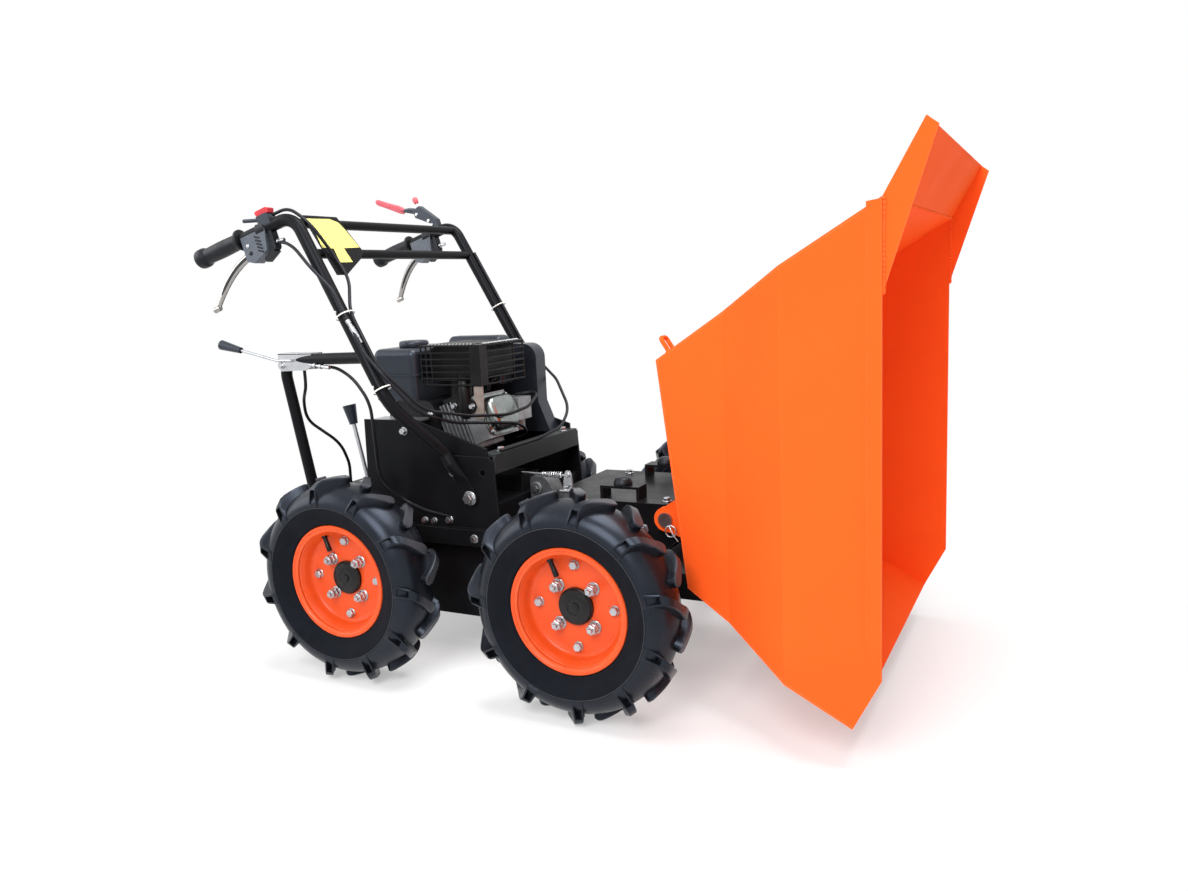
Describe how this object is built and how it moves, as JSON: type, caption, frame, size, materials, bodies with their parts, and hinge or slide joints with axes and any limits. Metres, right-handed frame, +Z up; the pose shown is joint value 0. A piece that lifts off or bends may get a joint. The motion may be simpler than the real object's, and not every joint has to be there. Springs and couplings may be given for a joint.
{
  "type": "walk-behind site dumper with a tipping skip",
  "caption": "Walk-behind power barrow: wheeled chassis with lugged tyres, petrol engine, handlebar controls and an orange steel skip tipped forward to empty.",
  "frame": {"origin": "on the floor, in the middle of the part's box", "axes": "+X forward towards the skip, +Y to the operator's left, +Z up"},
  "size_m": [1.5352, 0.836, 1.0258],
  "materials": {
    "tyre_rubber": "moulded agricultural tyre rubber",
    "rim_orange": "orange powder coat on pressed steel",
    "skip_orange": "orange powder coat on folded sheet steel",
    "frame_black": "black powder coat on folded steel",
    "hub_black": "black painted steel",
    "rubber_black": "moulded rubber",
    "plastic_black": "moulded black plastic",
    "plastic_red": "moulded red plastic",
    "zinc_steel": "zinc plated steel",
    "cast_alloy": "die cast aluminium",
    "engine_dark": "dark painted casting",
    "exhaust_black": "heat proof black paint"
  },
  "bodies": {
    "chassis": {"air_cleaner": "plastic_black", "axles": "frame_black", "belt_guard": "frame_black", "bump_stops": "rubber_black", "carburettor": "cast_alloy", "chain_case": "frame_black", "clutch_levers": "cast_alloy", "control_cables": "rubber_black", "control_panel": "frame_black", "engine_crankcase": "engine_dark", "engine_cylinder": "cast_alloy", "engine_deck": "frame_black", "fan_shroud": "plastic_black", "front_cross_angle": "frame_black", "front_frame": "frame_black", "fuel_cap": "plastic_black", "fuel_tank": "plastic_black", "gearbox": "cast_alloy", "grips": "rubber_black", "handlebar": "frame_black", "hinge_pin": "zinc_steel", "latch_lever": "zinc_steel", "lever_bracket": "zinc_steel", "lever_housings": "plastic_black", "lever_knobs": "plastic_black", "lever_rods": "zinc_steel", "muffler": "exhaust_black", "muffler_guard": "exhaust_black", "muffler_stay": "zinc_steel", "rear_post": "frame_black", "rear_shelf": "frame_black", "rocker_cover": "zinc_steel", "side_plates": "frame_black", "side_rails": "frame_black", "stop_switch": "plastic_red", "stop_switch_base": "plastic_black", "throttle_body": "plastic_black", "throttle_lever": "plastic_red"},
    "skip": {"skip_back": "skip_orange", "skip_floor": "skip_orange", "skip_front": "skip_orange", "skip_guard": "skip_orange", "skip_latch_loop": "skip_orange", "skip_lugs": "skip_orange", "skip_side_left": "skip_orange", "skip_side_right": "skip_orange"},
    "wheel_front_left": {"hub_front_left": "hub_black", "rim_front_left": "rim_orange", "tyre_front_left": "tyre_rubber"},
    "wheel_front_right": {"hub_front_right": "hub_black", "rim_front_right": "rim_orange", "tyre_front_right": "tyre_rubber"},
    "wheel_rear_left": {"hub_rear_left": "hub_black", "rim_rear_left": "rim_orange", "tyre_rear_left": "tyre_rubber"},
    "wheel_rear_right": {"hub_rear_right": "hub_black", "rim_rear_right": "rim_orange", "tyre_rear_right": "tyre_rubber"}
  },
  "joints": [
    {"name": "roll_front_left", "type": "hinge", "parent": "chassis", "child": "wheel_front_left", "pos_m": [0.16456, 0.363, 0.21036], "axis": [0, 1, 0], "continuous": true},
    {"name": "roll_front_right", "type": "hinge", "parent": "chassis", "child": "wheel_front_right", "pos_m": [0.16456, -0.363, 0.21036], "axis": [0, 1, 0], "continuous": true},
    {"name": "roll_rear_left", "type": "hinge", "parent": "chassis", "child": "wheel_rear_left", "pos_m": [-0.36144, 0.363, 0.21036], "axis": [0, 1, 0], "continuous": true},
    {"name": "roll_rear_right", "type": "hinge", "parent": "chassis", "child": "wheel_rear_right", "pos_m": [-0.36144, -0.363, 0.21036], "axis": [0, 1, 0], "continuous": true},
    {"name": "tip", "type": "hinge", "parent": "chassis", "child": "skip", "pos_m": [0.25556, 0, 0.32536], "axis": [0, 1, 0], "range_deg": [-82.4, 0]}
  ]
}
